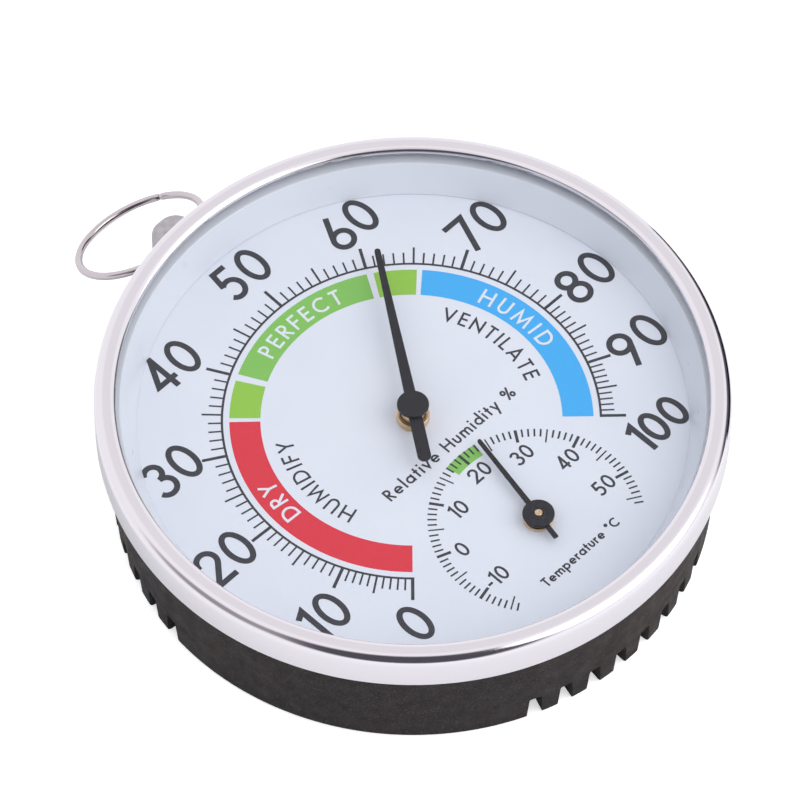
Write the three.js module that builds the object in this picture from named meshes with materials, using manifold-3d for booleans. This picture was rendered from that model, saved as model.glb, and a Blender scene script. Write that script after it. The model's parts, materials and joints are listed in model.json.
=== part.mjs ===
// Dial hygrometer with a thermometer sub-dial, as an assembly of separate solids.
// Millimetres. +Z points out of the dial, +Y towards the hanging ring (12 o'clock), and the origin
// is the centre of the flat back face. Angles called "bearing" run clockwise from 12 o'clock.
import * as THREE from "three";
import { mergeVertices } from "three/addons/utils/BufferGeometryUtils.js";
import Module from "manifold-3d";

const wasm = await Module();
wasm.setup();

// ---- driving dimensions ----
const BEZEL_RADIUS = 51.4;
const CROWN_Z = 26.5; // highest point of the bezel above the back face
const DIAL_Z = 18.1; // printed face of the dial
const DIAL_SIGHT_RADIUS = 44.5; // dial seen inside the spacer ring
const REAR_RADIUS = 49.2; // the case tapers from the bezel down to this
const FRONT_RADIUS = 50.1;
const SCALE_RADIUS = 30.5; // humidity scale line, which the hands are sized by
const THERMO_Y = -28; // centre of the temperature sub-dial
const SHEET = 0.8; // rolled bezel, dial plate and movement frames
const GAP = 0.3; // between pieces that touch on the real object
const CLOSE = 0.1; // the same, where the joint is in sight
const PLAY = 0.1; // radial play of an arbor in its bearing
const OVERCUT = 1; // how far a cutter runs past the face it cuts

// ---- case, worked out from the above ----
const FLOOR = 2;
const LEDGE_RADIUS = 46.6;
const LEDGE_Z = DIAL_Z - SHEET - CLOSE;
const DIAL_RADIUS = 47.6;
const RIM_INNER_RADIUS = DIAL_RADIUS + GAP;
const SPACER_TOP = 23.6;
const FLANGE_BOTTOM = 23; // of the spacer's flange, which lies on the housing's rim
const RIM_Z = FLANGE_BOTTOM - CLOSE;
const LENS_Z = SPACER_TOP + CLOSE;
const LENS_THICKNESS = 1.5;
const SKIRT_Z = 19.2; // lower edge of the bezel
const SIGHT_RADIUS = 47.8; // opening of the bezel

// ---- vent slots, open at the rear edge of the side wall ----
const SLOT_GROUP_BEARINGS = [-60, 60, 180];
const SLOTS_PER_GROUP = 8;
const SLOT_PITCH = 6.4; // degrees
const SLOT_HEIGHT = 5.7;
const SLOT_TOP_WIDTH = 2.1;
const SLOT_MOUTH_WIDTH = 3;

// ---- hanger ----
const LUG_WIDTH = 7.5;
const LUG_END_Y = 58.7;
const LUG_FRONT_Z = 16;
const LUG_BACK_Z = 10;
const EYE_Y = 54.5; // the eye is the hole the ring runs in, along X
const EYE_Z = 12.9;
const EYE_RADIUS = 1.35;
const WIRE_RADIUS = 0.65;
const RING_RADIUS = 11.4; // of the wire's centre line
const RING_SEAT = 0.35; // how far the wire's crown lies beyond the eye's axis
const RING_BUTT_ANGLE = 29; // where the wire's ends meet, from 3 o'clock
const RING_SLIT = 0.25;
const RING_LIFT = 0.05; // of the wire above the surface the case lies on
const SHANK_RADIUS = 1.5;
const SHANK_END_Y = LEDGE_RADIUS - 3.6; // inside the case
const WASHER_RADIUS = 3;
const WASHER_THICKNESS = 0.4;
const NUT_ACROSS_CORNERS = 6;
const NUT_THICKNESS = 2;

// ---- the two movements ----
const HAND_THICKNESS = 0.4;
const ARBOR_RADIUS = 0.65;
const SLEEVE_RADIUS = 2;
const BEARING_RADIUS = 1.6;
const COLLET_RADIUS = 1.4;
const BOSS_RADIUS = 1.1; // of the hub, through the hand
const HUB_ROOF = 0.3; // of the closed hub, over the arbor's tip
const BEARING_TOP = 2.2; // height of the rear bearing above the lower leaf
const HYGRO = {
  prefix: "hygro",
  y: 0,
  reading: 35, // bearing of the hand at rest, 61 % relative humidity
  handZ: 21.4,
  hubRadius: 2.6,
  hubThickness: 0.6,
  hubClosed: true,
  tipReach: 1.04 * SCALE_RADIUS,
  rootWidth: 1.9,
  tipWidth: 1,
  tailReach: 0.354 * SCALE_RADIUS,
  tailWidth: 2.2,
  tailRounded: true,
  nutRadius: 2.7,
  nutHeight: 1.4,
  frameReach: 13,
  frameWidth: 6,
  lowerTail: 3.6,
  leafZ: 5.4,
  coilRadius: 9,
  coilTurns: 3.5,
  coilZ: 8.6,
  coilHeight: 3.8,
};
const THERMO = {
  prefix: "thermo",
  y: THERMO_Y,
  reading: 12.4, // 23.5 degrees Celsius
  handZ: 19.25,
  hubRadius: 2.6,
  hubThickness: 0.5,
  hubClosed: false,
  tipReach: 0.567 * SCALE_RADIUS,
  rootWidth: 0.9,
  tipWidth: 0.65,
  tailReach: 0.167 * SCALE_RADIUS,
  tailWidth: 0.8,
  tailRounded: false,
  nutRadius: 2.4,
  nutHeight: 0.6,
  frameReach: 9,
  frameWidth: 5,
  lowerTail: 8,
  leafZ: 7,
  coilRadius: 6,
  coilTurns: 3.5,
  coilZ: 9.4,
  coilHeight: 3,
};

// ---- calibration lever, which carries the outer end of the humidity coil ----
const LEVER_Z = 6.6;
const LEVER_PIN_RADIUS = 10.2;
const LEVER_SWING = 15; // degrees each way
const PEG_RADIUS = 1;
const PEG_CLEARANCE = 0.5;
const PEG_END_Z = 0.8;

// ---- materials ----
const finish = (color, roughness, metalness) =>
  new THREE.MeshStandardMaterial({ color, roughness, metalness });
const CHROME = finish(0xe4e2e6, 0.12, 1);
const BLACK_PLASTIC = finish(0x3f3c42, 0.7, 0);
const WHITE_PLASTIC = finish(0xe6e9f0, 0.45, 0);
const WHITE_ENAMEL = finish(0xe3e7f1, 0.5, 0);
const GLASS = finish(0xf2f6fa, 0.05, 0);
const BRASS = finish(0xc9a45c, 0.3, 1);
const STEEL = finish(0xb9b9bd, 0.35, 1);
const BLACK_LACQUER = finish(0x2e2d33, 0.45, 0.2);
const HUMIDITY_FOIL = finish(0xc7a169, 0.5, 0.6);
const BIMETAL = finish(0x9d9a92, 0.4, 1);

// ---- facets in a full turn: of small round pieces, and of the case and what fits in it ----
const FINE = 24;
const BROAD = 72;

const assembly = new THREE.Group();

// ---- solids ----

// A closed geometry as a manifold-3d solid.
function solid(geometry) {
  const bare = geometry.clone();
  bare.deleteAttribute("normal");
  bare.deleteAttribute("uv");
  const merged = mergeVertices(bare, 1e-4);
  return new wasm.Manifold(
    new wasm.Mesh({
      numProp: 3,
      vertProperties: merged.attributes.position.array,
      triVerts: new Uint32Array(merged.index.array),
    }),
  );
}

// A manifold-3d solid back as a geometry.
function geometryOf(manifold) {
  const { vertProperties, triVerts } = manifold.getMesh();
  const geometry = new THREE.BufferGeometry();
  geometry.setAttribute("position", new THREE.BufferAttribute(vertProperties, 3));
  geometry.setIndex(new THREE.BufferAttribute(triVerts, 1));
  geometry.computeVertexNormals();
  return geometry;
}

function cut(geometry, cutters) {
  let result = solid(geometry);
  for (const cutter of cutters) result = result.subtract(solid(cutter));
  return geometryOf(result);
}

function join(geometries) {
  let result = solid(geometries[0]);
  for (const other of geometries.slice(1)) result = result.add(solid(other));
  return geometryOf(result);
}

// A profile of [radius, z] pairs turned about Z. It runs counter-clockwise, and either starts and
// ends on the axis or is closed here.
function turned(profile, segments = FINE) {
  const points = profile.map(([r, z]) => new THREE.Vector2(r, z));
  if (profile[0][0] > 0) points.push(points[0].clone());
  return new THREE.LatheGeometry(points, segments).rotateX(Math.PI / 2);
}

function prism(shape, z, height, curveSegments = 12) {
  const settings = { depth: height, bevelEnabled: false, curveSegments };
  return new THREE.ExtrudeGeometry(shape, settings).translate(0, 0, z);
}

function rod(radius, z, height, segments = FINE) {
  return new THREE.CylinderGeometry(radius, radius, height, segments)
    .rotateX(Math.PI / 2)
    .translate(0, 0, z + height / 2);
}

function box(x, y, z) {
  return new THREE.BoxGeometry(x, y, z);
}

function rodAlongX(radius, length, y, z) {
  return new THREE.CylinderGeometry(radius, radius, length, FINE)
    .rotateZ(Math.PI / 2)
    .translate(0, y, z);
}

function rodAlongY(radius, yStart, yEnd, z) {
  return new THREE.CylinderGeometry(radius, radius, yEnd - yStart, FINE).translate(
    0,
    (yStart + yEnd) / 2,
    z,
  );
}

function disc(radius) {
  return new THREE.Shape().absarc(0, 0, radius, 0, 2 * Math.PI, false);
}

function hole(radius) {
  return new THREE.Path().absarc(0, 0, radius, 0, 2 * Math.PI, true);
}

function add(name, geometry, material, y = 0) {
  const mesh = new THREE.Mesh(geometry, material);
  mesh.name = name;
  mesh.position.y = y;
  assembly.add(mesh);
}

// Points of an arc in the [radius, z] plane, both ends included, angles in degrees.
function arc(r, z, radius, from, to, steps) {
  return Array.from({ length: steps + 1 }, (_, i) => {
    const angle = THREE.MathUtils.degToRad(from + ((to - from) * i) / steps);
    return [r + radius * Math.cos(angle), z + radius * Math.sin(angle)];
  });
}

// ---- case ----

// One vent slot, wider at its mouth, through the wall and the edge of the floor.
function slotCutter(bearing) {
  const flare = (SLOT_MOUTH_WIDTH - SLOT_TOP_WIDTH) / SLOT_HEIGHT;
  const mouth = (SLOT_MOUTH_WIDTH + flare * OVERCUT) / 2;
  const outline = new THREE.Shape();
  outline.moveTo(-mouth, -OVERCUT);
  outline.lineTo(mouth, -OVERCUT);
  outline.lineTo(SLOT_TOP_WIDTH / 2, SLOT_HEIGHT);
  outline.lineTo(-SLOT_TOP_WIDTH / 2, SLOT_HEIGHT);
  outline.closePath();
  const reach = FRONT_RADIUS + OVERCUT;
  return prism(outline, 0, reach - LEDGE_RADIUS + GAP)
    .rotateX(Math.PI / 2)
    .translate(0, reach, 0)
    .rotateZ(-THREE.MathUtils.degToRad(bearing));
}

// The curved opening in the floor that the calibration peg swings in, at 9 o'clock.
function pegSlotCutter() {
  const halfWidth = PEG_RADIUS + PEG_CLEARANCE;
  const spare = PEG_CLEARANCE + PEG_RADIUS;
  const swing = THREE.MathUtils.degToRad(LEVER_SWING) + spare / LEVER_PIN_RADIUS;
  const outline = new THREE.Shape();
  outline.absarc(0, 0, LEVER_PIN_RADIUS + halfWidth, Math.PI - swing, Math.PI + swing, false);
  outline.absarc(0, 0, LEVER_PIN_RADIUS - halfWidth, Math.PI + swing, Math.PI - swing, true);
  return prism(outline, -OVERCUT, FLOOR + 2 * OVERCUT);
}

function rearHousing() {
  const chamfer = 0.7;
  const shell = turned(
    [
      [0, 0],
      [REAR_RADIUS - chamfer, 0],
      [REAR_RADIUS, chamfer],
      [FRONT_RADIUS, SKIRT_Z],
      [FRONT_RADIUS, RIM_Z],
      [RIM_INNER_RADIUS, RIM_Z],
      [RIM_INNER_RADIUS, LEDGE_Z],
      [LEDGE_RADIUS, LEDGE_Z],
      [LEDGE_RADIUS, FLOOR],
      [0, FLOOR],
    ],
    BROAD,
  );
  const middle = (SLOTS_PER_GROUP - 1) / 2;
  const slots = SLOT_GROUP_BEARINGS.flatMap((group) =>
    Array.from({ length: SLOTS_PER_GROUP }, (_, i) => slotCutter(group + (i - middle) * SLOT_PITCH)),
  );
  const shankHole = rodAlongY(
    SHANK_RADIUS + GAP,
    LEDGE_RADIUS - OVERCUT,
    FRONT_RADIUS + OVERCUT,
    EYE_Z,
  );
  return cut(shell, [...slots, pegSlotCutter(), shankHole]);
}

// Rolled sheet: a straight skirt, a round shoulder, a shallow crown and a lip turned down over the lens.
function bezelRing() {
  const shoulder = 1.7;
  const shoulderR = BEZEL_RADIUS - shoulder;
  const shoulderZ = CROWN_Z - shoulder;
  const lip = 0.9;
  const lipDrop = 0.1;
  const inner = shoulder - SHEET;
  return turned(
    [
      [BEZEL_RADIUS, SKIRT_Z],
      ...arc(shoulderR, shoulderZ, shoulder, 0, 90, 4),
      ...arc(SIGHT_RADIUS + lip, CROWN_Z - lipDrop - lip, lip, 90, 180, 3),
      ...arc(shoulderR, shoulderZ, inner, 90, 0, 2),
      [BEZEL_RADIUS - SHEET, SKIRT_Z],
    ],
    BROAD,
  );
}

function lens() {
  const top = LENS_Z + LENS_THICKNESS;
  const edge = 0.3;
  return turned(
    [
      [0, LENS_Z],
      [FRONT_RADIUS - edge, LENS_Z],
      [FRONT_RADIUS, LENS_Z + edge],
      [FRONT_RADIUS, top - edge],
      [FRONT_RADIUS - edge, top],
      [0, top],
    ],
    BROAD,
  );
}

// White cone between the dial and the lens, which holds the dial down, with a flange under the lens.
function spacerRing() {
  const wall = 0.4; // at the head of the cone
  const flangeRadius = FRONT_RADIUS - GAP;
  return turned(
    [
      [DIAL_SIGHT_RADIUS, DIAL_Z + CLOSE],
      [DIAL_RADIUS, DIAL_Z + CLOSE],
      [DIAL_RADIUS, FLANGE_BOTTOM],
      [flangeRadius, FLANGE_BOTTOM],
      [flangeRadius, SPACER_TOP],
      [DIAL_RADIUS - wall, SPACER_TOP],
    ],
    BROAD,
  );
}

function dialPlate() {
  const plate = rod(DIAL_RADIUS, DIAL_Z - SHEET, SHEET, BROAD);
  const sleeveHole = rod(SLEEVE_RADIUS + CLOSE, DIAL_Z - SHEET - OVERCUT, SHEET + 2 * OVERCUT);
  return cut(plate, [sleeveHole, sleeveHole.clone().translate(0, THERMO_Y, 0)]);
}

// ---- hanger ----

function hangerLug() {
  const half = LUG_WIDTH / 2;
  const corner = 2.4;
  const bevel = 0.4;
  const foot = FRONT_RADIUS + bevel + CLOSE;
  const outline = new THREE.Shape();
  outline.moveTo(-half + bevel, foot);
  outline.lineTo(half - bevel, foot);
  outline.lineTo(half - bevel, LUG_END_Y - corner);
  outline.quadraticCurveTo(half - bevel, LUG_END_Y - bevel, half - corner, LUG_END_Y - bevel);
  outline.lineTo(-half + corner, LUG_END_Y - bevel);
  outline.quadraticCurveTo(-half + bevel, LUG_END_Y - bevel, -half + bevel, LUG_END_Y - corner);
  outline.closePath();
  const settings = {
    depth: LUG_FRONT_Z - LUG_BACK_Z - 2 * bevel,
    bevelThickness: bevel,
    bevelSize: bevel,
    bevelSegments: 2,
    curveSegments: 5,
  };
  const block = new THREE.ExtrudeGeometry(outline, settings).translate(0, 0, LUG_BACK_Z + bevel);
  const shank = rodAlongY(SHANK_RADIUS, SHANK_END_Y, foot + 1, EYE_Z);
  const eye = rodAlongX(EYE_RADIUS, LUG_WIDTH + 2 * OVERCUT, EYE_Y, EYE_Z);
  return cut(join([block, shank]), [eye]);
}

// A flat ring or hexagon on the shank inside the case, whose outer face is at y.
function shankCollar(outline, thickness, y) {
  outline.holes.push(hole(SHANK_RADIUS + CLOSE));
  return prism(outline, 0, thickness).rotateX(Math.PI / 2).translate(0, y, EYE_Z);
}

function hexagon(acrossCorners) {
  const corners = Array.from({ length: 6 }, (_, i) => {
    const angle = (i * Math.PI) / 3;
    return new THREE.Vector2(Math.cos(angle), Math.sin(angle)).multiplyScalar(acrossCorners / 2);
  });
  return new THREE.Shape(corners);
}

function hangerWasher() {
  return shankCollar(disc(WASHER_RADIUS), WASHER_THICKNESS, LEDGE_RADIUS - GAP);
}

function hangerNut() {
  const face = LEDGE_RADIUS - 2 * GAP - WASHER_THICKNESS;
  return shankCollar(hexagon(NUT_ACROSS_CORNERS), NUT_THICKNESS, face);
}

// The wire ring, open by a hair at its butt joint, lying in the XY plane with its centre at the origin.
class RingLine extends THREE.Curve {
  getPoint(t, target = new THREE.Vector3()) {
    const start = THREE.MathUtils.degToRad(RING_BUTT_ANGLE);
    const slit = RING_SLIT / RING_RADIUS;
    const angle = start + slit / 2 + t * (2 * Math.PI - slit);
    return target.set(RING_RADIUS * Math.cos(angle), RING_RADIUS * Math.sin(angle), 0);
  }
}

// The ring leans down from the eye until it lies on the surface under the back face.
function hangingRing() {
  const wire = new THREE.Shape().absarc(0, 0, WIRE_RADIUS, 0, 2 * Math.PI, false);
  const settings = { steps: 56, curveSegments: 5, extrudePath: new RingLine() };
  const fromEye = RING_RADIUS - RING_SEAT;
  const lean = Math.asin((EYE_Z - WIRE_RADIUS - RING_LIFT) / (fromEye + RING_RADIUS));
  return new THREE.ExtrudeGeometry(wire, settings)
    .translate(0, fromEye, 0)
    .rotateX(-lean)
    .translate(0, EYE_Y, EYE_Z);
}

// ---- movements; each is built about its own arbor and then moved to its place on the dial ----

// Threaded sleeve through frame and dial, with a flange below the frame; the arbor runs in its bore.
function sleeve(m) {
  const bore = ARBOR_RADIUS + PLAY;
  const flangeTop = LEDGE_Z - SHEET - CLOSE;
  const flangeBottom = flangeTop - 1;
  const flangeRadius = SLEEVE_RADIUS + 1.2;
  const top = m.handZ - 0.5;
  const topRadius = SLEEVE_RADIUS - 0.4;
  return turned([
    [bore, flangeBottom],
    [flangeRadius, flangeBottom],
    [flangeRadius, flangeTop],
    [SLEEVE_RADIUS, flangeTop],
    [SLEEVE_RADIUS, DIAL_Z + m.nutHeight],
    [topRadius, top],
    [bore, top],
  ]);
}

function sleeveNut(m) {
  const top = DIAL_Z + CLOSE + m.nutHeight;
  const inner = SLEEVE_RADIUS + CLOSE;
  const step = m.nutHeight / 3;
  return turned([
    [inner, DIAL_Z + CLOSE],
    [m.nutRadius, DIAL_Z + CLOSE],
    [m.nutRadius, top - step],
    [m.nutRadius - step, top],
    [inner, top],
  ]);
}

// C-shaped strap: an upper leaf under the dial, a leg at 3 o'clock and a lower leaf with the rear bearing.
function movementFrame(m) {
  const top = LEDGE_Z;
  const bottom = m.leafZ;
  const back = -m.frameWidth / 2;
  const outline = new THREE.Shape();
  outline.moveTo(-m.lowerTail, bottom);
  outline.lineTo(m.frameReach, bottom);
  outline.lineTo(m.frameReach, top);
  outline.lineTo(back, top);
  outline.lineTo(back, top - SHEET);
  outline.lineTo(m.frameReach - SHEET, top - SHEET);
  outline.lineTo(m.frameReach - SHEET, bottom + SHEET);
  outline.lineTo(-m.lowerTail, bottom + SHEET);
  outline.closePath();
  const strap = prism(outline, -m.frameWidth / 2, m.frameWidth).rotateX(Math.PI / 2);
  const through = SHEET + 2 * OVERCUT;
  const sleeveHole = rod(SLEEVE_RADIUS + CLOSE, top - SHEET - OVERCUT, through);
  const bearingHole = rod(BEARING_RADIUS + CLOSE, bottom - OVERCUT, through);
  return cut(strap, [sleeveHole, bearingHole]);
}

// Flanged cup pressed into the lower leaf from behind; the arbor's end turns in it.
function rearBearing(m) {
  const bore = ARBOR_RADIUS + PLAY;
  const top = m.leafZ + BEARING_TOP;
  const flangeTop = m.leafZ - CLOSE;
  const flangeBottom = flangeTop - 0.7;
  const flangeRadius = BEARING_RADIUS + 0.8;
  return turned([
    [0, flangeBottom],
    [flangeRadius, flangeBottom],
    [flangeRadius, flangeTop],
    [BEARING_RADIUS, flangeTop],
    [BEARING_RADIUS, top],
    [bore, top],
    [bore, flangeTop],
    [0, flangeTop],
  ]);
}

// Its tip shows through an open hub and stops short of a closed one's roof.
function arbor(m) {
  const bottom = m.leafZ + PLAY;
  const hubTop = m.handZ + HAND_THICKNESS + m.hubThickness;
  const top = m.hubClosed ? hubTop - HUB_ROOF - 0.05 : hubTop + 0.15;
  return rod(ARBOR_RADIUS, bottom, top - bottom);
}

// Split collar on the arbor, to which the inner end of the coil is fixed.
function collet(m) {
  const bore = ARBOR_RADIUS + PLAY / 2;
  const bottom = m.coilZ - CLOSE;
  const top = m.coilZ + m.coilHeight + CLOSE;
  return turned([
    [bore, bottom],
    [COLLET_RADIUS, bottom],
    [COLLET_RADIUS, top],
    [bore, top],
  ]);
}

// Flat spiral of strip, from just outside the collet to the coil's outer radius at 9 o'clock.
function coil(m) {
  const thickness = 0.3;
  const stepsPerTurn = 16;
  const inner = COLLET_RADIUS + GAP + thickness / 2;
  const steps = stepsPerTurn * m.coilTurns;
  const edge = (offset) =>
    Array.from({ length: steps + 1 }, (_, i) => {
      const angle = Math.PI - (1 - i / steps) * m.coilTurns * 2 * Math.PI;
      const radius = inner + ((m.coilRadius - inner) * i) / steps + offset;
      return new THREE.Vector2(radius * Math.cos(angle), radius * Math.sin(angle));
    });
  const outline = new THREE.Shape([...edge(thickness / 2), ...edge(-thickness / 2).reverse()]);
  return prism(outline, m.coilZ, m.coilHeight);
}

// Blade, round eye and counterweight tail in one strip, pointing at the hand's reading.
function hand(m) {
  const eye = m.hubRadius - 0.5;
  const root = 0.8 * eye;
  const tail = m.tailWidth / 2;
  const tip = m.tipWidth / 2;
  const tailEnd = m.tailRounded ? tail - m.tailReach : -m.tailReach;
  const tipEnd = m.tipReach - tip;
  const blade = new THREE.Shape();
  blade.moveTo(-tail, 0);
  blade.lineTo(-tail, tailEnd);
  if (m.tailRounded) blade.absarc(0, tailEnd, tail, Math.PI, 2 * Math.PI, false);
  blade.lineTo(tail, tailEnd);
  blade.lineTo(tail, 0);
  blade.lineTo(m.rootWidth / 2, root);
  blade.lineTo(tip, tipEnd);
  blade.absarc(0, tipEnd, tip, 0, Math.PI, false);
  blade.lineTo(-m.rootWidth / 2, root);
  blade.closePath();
  const whole = join([prism(blade, m.handZ, HAND_THICKNESS, 6), rod(eye, m.handZ, HAND_THICKNESS)]);
  const bore = rod(BOSS_RADIUS + CLOSE, m.handZ - OVERCUT, HAND_THICKNESS + 2 * OVERCUT);
  return cut(whole, [bore]).rotateZ(-THREE.MathUtils.degToRad(m.reading));
}

// Disc over the hand's eye, with a boss through it that is pressed on the arbor.
function hub(m) {
  const bore = ARBOR_RADIUS + PLAY / 2;
  const bottom = m.handZ - 0.3;
  const discBottom = m.handZ + HAND_THICKNESS + CLOSE / 2;
  const top = m.handZ + HAND_THICKNESS + m.hubThickness;
  const edge = 0.15;
  const skin = [
    [BOSS_RADIUS, bottom],
    [BOSS_RADIUS, discBottom],
    [m.hubRadius, discBottom],
    [m.hubRadius, top - edge],
    [m.hubRadius - edge, top],
  ];
  if (m.hubClosed) {
    const roof = top - HUB_ROOF;
    return turned([[0, roof], [bore, roof], [bore, bottom], ...skin, [0, top]]);
  }
  return turned([[bore, bottom], ...skin, [bore, top]]);
}

// Arm that turns on the rear bearing: a post holds the coil, and a peg reaches the slot in the floor.
function calibrationLever() {
  const thickness = 0.7;
  const middle = LEVER_Z + thickness / 2;
  const armWidth = 2.6;
  const postTop = HYGRO.coilZ + HYGRO.coilHeight;
  const ring = rod(3.4, LEVER_Z, thickness);
  const arm = box(LEVER_PIN_RADIUS, armWidth, thickness).translate(-LEVER_PIN_RADIUS / 2, 0, middle);
  const end = rod(1.5, LEVER_Z, thickness).translate(-LEVER_PIN_RADIUS, 0, 0);
  const post = box(1.2, 2.2, postTop - middle).translate(-LEVER_PIN_RADIUS, 0, (postTop + middle) / 2);
  const peg = rod(PEG_RADIUS, PEG_END_Z, middle - PEG_END_Z).translate(-LEVER_PIN_RADIUS, 0, 0);
  const bore = rod(BEARING_RADIUS + PLAY, LEVER_Z - OVERCUT, thickness + 2 * OVERCUT);
  return cut(join([ring, arm, end, post, peg]), [bore]);
}

// Fixed pin that holds the outer end of the thermometer coil, standing on the lower leaf's tail.
function coilPost(m) {
  const thickness = 1;
  const width = 2;
  const bottom = m.leafZ + SHEET + CLOSE;
  const height = m.coilZ + m.coilHeight - bottom;
  const x = -m.coilRadius - thickness;
  return box(thickness, width, height).translate(x, 0, bottom + height / 2);
}

function addMovement(m, coilMaterial) {
  add(m.prefix + "_sleeve", sleeve(m), BRASS, m.y);
  add(m.prefix + "_sleeve_nut", sleeveNut(m), BRASS, m.y);
  add(m.prefix + "_frame", movementFrame(m), STEEL, m.y);
  add(m.prefix + "_rear_bearing", rearBearing(m), BRASS, m.y);
  add(m.prefix + "_coil", coil(m), coilMaterial, m.y);
  add(m.prefix + "_arbor", arbor(m), BRASS, m.y);
  add(m.prefix + "_collet", collet(m), BRASS, m.y);
  add(m.prefix + "_hand", hand(m), BLACK_LACQUER, m.y);
  add(m.prefix + "_hub", hub(m), BLACK_LACQUER, m.y);
}

add("rear_housing", rearHousing(), BLACK_PLASTIC);
add("bezel_ring", bezelRing(), CHROME);
add("lens", lens(), GLASS);
add("spacer_ring", spacerRing(), WHITE_PLASTIC);
add("dial_plate", dialPlate(), WHITE_ENAMEL);
addMovement(HYGRO, HUMIDITY_FOIL);
add("calibration_lever", calibrationLever(), STEEL);
addMovement(THERMO, BIMETAL);
add("thermo_coil_post", coilPost(THERMO), STEEL, THERMO_Y);
add("hanger_lug", hangerLug(), STEEL);
add("hanger_washer", hangerWasher(), STEEL);
add("hanger_nut", hangerNut(), STEEL);
add("hanging_ring", hangingRing(), CHROME);

export default assembly;
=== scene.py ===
"""Looks of the dial hygrometer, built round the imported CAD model.

Millimetres become metres through MM. +Z points out of the dial, +Y towards the hanging ring
(12 o'clock), and a "bearing" runs clockwise from 12 o'clock in degrees.
"""

import json
import math

import bmesh
import bpy
from mathutils import Matrix, Vector


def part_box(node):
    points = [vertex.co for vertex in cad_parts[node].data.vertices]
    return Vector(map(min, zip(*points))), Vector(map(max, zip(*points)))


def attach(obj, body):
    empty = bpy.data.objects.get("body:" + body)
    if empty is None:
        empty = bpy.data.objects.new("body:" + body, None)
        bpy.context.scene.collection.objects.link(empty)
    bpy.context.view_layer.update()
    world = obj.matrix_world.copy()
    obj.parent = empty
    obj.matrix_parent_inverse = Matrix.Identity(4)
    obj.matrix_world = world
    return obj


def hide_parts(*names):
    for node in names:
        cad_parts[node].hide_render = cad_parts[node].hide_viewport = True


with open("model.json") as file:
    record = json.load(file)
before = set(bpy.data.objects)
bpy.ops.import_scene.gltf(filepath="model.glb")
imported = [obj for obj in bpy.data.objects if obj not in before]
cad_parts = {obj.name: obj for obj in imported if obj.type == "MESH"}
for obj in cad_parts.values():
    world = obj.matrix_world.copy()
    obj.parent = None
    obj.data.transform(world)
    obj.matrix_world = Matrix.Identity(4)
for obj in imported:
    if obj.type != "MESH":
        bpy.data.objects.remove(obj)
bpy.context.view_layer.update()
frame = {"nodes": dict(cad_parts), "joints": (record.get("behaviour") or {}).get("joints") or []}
MM = 0.001

# ---- what the CAD model says, in millimetres ----


def cad_box(node):
    low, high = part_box(node)
    return low / MM, high / MM


def joint_place(name):
    joint = next(j for j in frame["joints"] if j["name"] == name)
    return Vector(joint["pos_m"]) / MM


DIAL_Z = cad_box("dial_plate")[1].z
DIAL_RADIUS = cad_box("dial_plate")[1].x
BEZEL_LOW, BEZEL_HIGH = cad_box("bezel_ring")
HOUSING_HIGH = cad_box("rear_housing")[1]
SPACER_LOW, SPACER_HIGH = cad_box("spacer_ring")
THERMO_Y = joint_place("temperature_pointer").y
EYE = joint_place("ring_swing")

# ---- the dial's print ----

SCALE_RADIUS = 30.5  # of the humidity scale's line, in millimetres
# Bearings of 0, 10, 20 ... 100 %; the scale is wider in the middle than at its ends.
DECADE_BEARINGS = [-134.6, -113.4, -87.2, -58.1, -28.05, 1.86, 31.58, 61.25, 90.99, 114.81, 134.72]
DIGIT_HEIGHT = 7.3
DIGIT_STROKE = 1.0
DEGREE_STEP = 3.44  # of bearing, for one degree Celsius
COLDEST, HOTTEST = -16, 56  # ends of the temperature scale
MID_TEMPERATURE, MID_BEARING = 20, 0.4  # near the top of the sub-dial
FILM = 0.012  # thickness of one printed layer, in millimetres
CROSSING = 0.003  # from one stroke of a letter up to the next, so that they may cross
PRINT_SHIFT = (-0.17, 0.17)  # of the print against the case, in millimetres


# ---- node materials ----


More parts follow.
